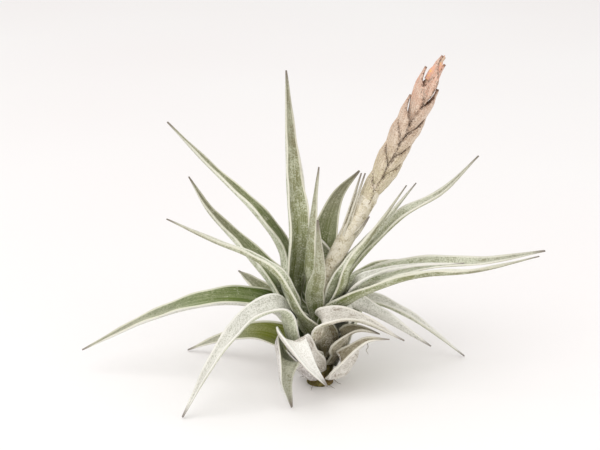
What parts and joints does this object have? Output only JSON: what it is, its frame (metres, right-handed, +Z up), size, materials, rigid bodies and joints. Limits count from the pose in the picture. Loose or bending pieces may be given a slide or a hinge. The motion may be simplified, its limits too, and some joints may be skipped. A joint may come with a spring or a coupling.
{
  "type": "air plant",
  "caption": "Small rootless rosette of narrow, felted, recurving leaves on a short stem, with a leaning flat flower spike, resting on its stem foot and lowest leaf tips.",
  "frame": {"origin": "centre of the stem's flat foot, on the surface that the plant rests on", "axes": "+Z up along the stem, +X to the side that the flower spike leans to, +Y towards the back"},
  "size_m": [0.1263, 0.0666, 0.088],
  "materials": {
    "leaf_silver": "matte, finely scurfy",
    "leaf_pale": "matte, thick pale felt",
    "leaf_green": "matte, striped grey-green",
    "stem": "dry, fibrous",
    "bract": "matte, felted, dark margins"
  },
  "bodies": {
    "root": {"stem": "stem", "leaf_tall": "leaf_silver", "leaf_tall_behind": "leaf_silver", "leaf_upper_left": "leaf_green", "leaf_back_left": "leaf_green", "leaf_front_left": "leaf_silver", "leaf_long_left": "leaf_green", "leaf_short_back_left": "leaf_green", "leaf_drooping_front": "leaf_pale", "leaf_low_left": "leaf_green", "leaf_low_front": "leaf_silver", "leaf_curled_front": "leaf_pale", "leaf_low_right": "leaf_silver", "leaf_old_right": "leaf_pale", "leaf_old_right_upper": "leaf_pale", "leaf_arched_right": "leaf_pale", "leaf_back_right": "leaf_silver", "leaf_long_right_lower": "leaf_green", "leaf_long_right_upper": "leaf_green", "leaf_right_between": "leaf_pale", "leaf_rising_right": "leaf_green", "leaf_slender_right_back": "leaf_silver", "leaf_slender_right_front": "leaf_silver", "leaf_inner_back": "leaf_green", "leaf_inner_narrow": "leaf_green", "leaf_inner_front": "leaf_silver", "leaf_rear_middle": "leaf_green", "leaf_rear_right": "leaf_green", "leaf_rear_upper_right": "leaf_green", "leaf_rear_upper_left": "leaf_green", "leaf_rear_low": "leaf_pale", "flower_spike": "bract"}
  },
  "joints": []
}
